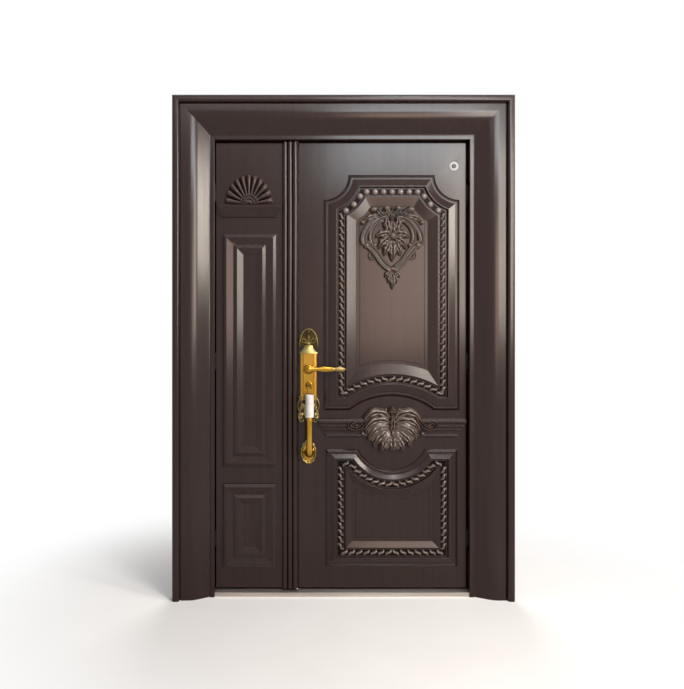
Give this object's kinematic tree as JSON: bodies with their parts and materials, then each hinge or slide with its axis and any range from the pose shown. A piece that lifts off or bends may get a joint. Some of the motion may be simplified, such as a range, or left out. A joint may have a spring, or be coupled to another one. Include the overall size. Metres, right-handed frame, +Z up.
{
  "type": "steel fire door",
  "caption": "Double-leaf steel fire door with an unequal side leaf, raised carved panels, moulded frame, pull handle, lever lock, viewer and sill, hung on concealed hinges.",
  "frame": {"origin": "on the floor at the middle of the opening, in the plane of the wall's face", "axes": "+X to the right seen from outside, +Y into the wall, +Z up"},
  "size_m": [1.49, 0.205, 2.2],
  "materials": {
    "lacquer": "dark bronze-brown gloss lacquer on pressed steel",
    "sill_steel": "brushed stainless steel",
    "hinge_steel": "plain zinc-plated steel",
    "lock_steel": "satin plated steel",
    "brass": "golden plated casting with darkened recesses",
    "sleeve_plastic": "soft white protective sleeve",
    "viewer_chrome": "polished chrome",
    "viewer_glass": "dark wide-angle lens",
    "seal_rubber": "black rubber",
    "core_board": "pale mineral fire board"
  },
  "bodies": {
    "frame": {"left_jamb": "lacquer", "right_jamb": "lacquer", "head_casing": "lacquer", "sill": "sill_steel", "frame_seal": "seal_rubber", "main_hinge_pins": "hinge_steel", "side_hinge_pins": "hinge_steel", "main_hinge_box_lower": "hinge_steel", "main_hinge_box_middle": "hinge_steel", "main_hinge_box_upper": "hinge_steel", "side_hinge_box_lower": "hinge_steel", "side_hinge_box_middle": "hinge_steel", "side_hinge_box_upper": "hinge_steel"},
    "main_leaf": {"main_outer_skin": "lacquer", "main_inner_skin": "lacquer", "main_core": "core_board", "main_meeting_seal": "seal_rubber", "upper_rope_moulding": "lacquer", "lower_rope_moulding": "lacquer", "cartouche": "lacquer", "rail_rosette": "lacquer", "viewer_barrel": "viewer_chrome", "viewer_sleeve": "viewer_chrome", "viewer_lens": "viewer_glass", "lock_faceplate": "lock_steel", "lock_case": "lock_steel", "outer_plate": "brass", "inner_plate": "brass", "cylinder_body": "brass", "pull_grip": "brass", "grip_foot": "brass", "grip_sleeve": "sleeve_plastic", "main_hinge_arm_lower": "hinge_steel", "main_hinge_arm_middle": "hinge_steel", "main_hinge_arm_upper": "hinge_steel"},
    "side_leaf": {"side_outer_skin": "lacquer", "side_inner_skin": "lacquer", "side_core": "core_board", "side_meeting_seal": "seal_rubber", "meeting_strip": "lacquer", "shell_casting": "lacquer", "strike_plate": "lock_steel", "top_flush_bolt_plate": "lock_steel", "bottom_flush_bolt_plate": "lock_steel", "side_hinge_arm_lower": "hinge_steel", "side_hinge_arm_middle": "hinge_steel", "side_hinge_arm_upper": "hinge_steel"},
    "lever_set": {"outside_lever": "brass", "inside_lever": "brass", "spindle": "lock_steel"},
    "bolt_carriage": {"main_bolts": "lock_steel", "latch_bolt": "lock_steel"},
    "upper_locking_rod": {"upper_rod": "lock_steel"},
    "lower_locking_rod": {"lower_rod": "lock_steel"},
    "cylinder_core": {"key_plug": "brass", "thumb_turn": "brass"},
    "top_bolt": {"top_flush_bolt": "lock_steel"},
    "bottom_bolt": {"bottom_flush_bolt": "lock_steel"}
  },
  "joints": [
    {"name": "main_leaf_swing", "type": "hinge", "parent": "frame", "child": "main_leaf", "pos_m": [0.5735, -0.006, 1], "axis": [0, 0, 1], "range_deg": [0, 90]},
    {"name": "side_leaf_swing", "type": "hinge", "parent": "frame", "child": "side_leaf", "pos_m": [-0.5735, -0.006, 1], "axis": [0, 0, -1], "range_deg": [0, 90]},
    {"name": "lever_lift", "type": "hinge", "parent": "main_leaf", "child": "lever_set", "pos_m": [-0.146, 0, 1.006], "axis": [0, -1, 0], "range_deg": [0, 45]},
    {"name": "bolt_throw", "type": "slide", "parent": "main_leaf", "child": "bolt_carriage", "axis": [-1, 0, 0], "range_m": [0, 0.025]},
    {"name": "upper_rod_throw", "type": "slide", "parent": "main_leaf", "child": "upper_locking_rod", "axis": [0, 0, 1], "range_m": [0, 0.02]},
    {"name": "lower_rod_throw", "type": "slide", "parent": "main_leaf", "child": "lower_locking_rod", "axis": [0, 0, -1], "range_m": [0, 0.02]},
    {"name": "key_turn", "type": "hinge", "parent": "main_leaf", "child": "cylinder_core", "pos_m": [-0.146, 0, 0.932], "axis": [0, -1, 0], "range_deg": [0, 90]},
    {"name": "top_bolt_throw", "type": "slide", "parent": "side_leaf", "child": "top_bolt", "axis": [0, 0, 1], "range_m": [0, 0.02]},
    {"name": "bottom_bolt_throw", "type": "slide", "parent": "side_leaf", "child": "bottom_bolt", "axis": [0, 0, -1], "range_m": [0, 0.02]}
  ],
  "couplings": [
    {"joint": "bolt_throw", "follows": "lever_lift", "m_per_rad": 0.031831},
    {"joint": "upper_rod_throw", "follows": "lever_lift", "m_per_rad": 0.025465},
    {"joint": "lower_rod_throw", "follows": "lever_lift", "m_per_rad": 0.025465}
  ]
}
